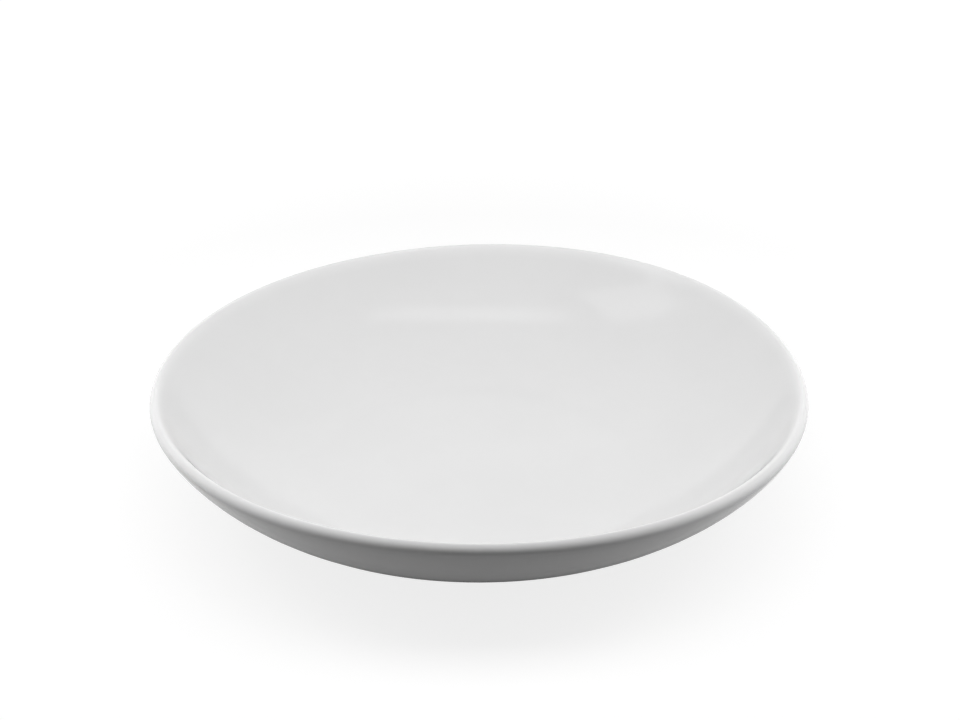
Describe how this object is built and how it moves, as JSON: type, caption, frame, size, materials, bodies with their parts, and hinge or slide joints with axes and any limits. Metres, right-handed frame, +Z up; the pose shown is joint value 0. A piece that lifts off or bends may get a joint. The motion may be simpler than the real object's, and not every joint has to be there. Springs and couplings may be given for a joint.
{
  "type": "deep coupe plate",
  "caption": "Round rimless deep plate with a smoothly curved wall, a thick rounded lip, a flat well floor and a low foot ring to stand on.",
  "frame": {"origin": "centre of the foot ring, on the plane that the plate stands on", "axes": "+Z up along the plate's axis, out of the well; X and Y are free, because the plate is round"},
  "size_m": [0.26, 0.26, 0.0435],
  "materials": {
    "bisque": "matte",
    "glaze": "gloss"
  },
  "bodies": {
    "root": {"porcelain_body": "bisque", "glaze_coat": "glaze", "foot_well_glaze": "glaze"}
  },
  "joints": []
}
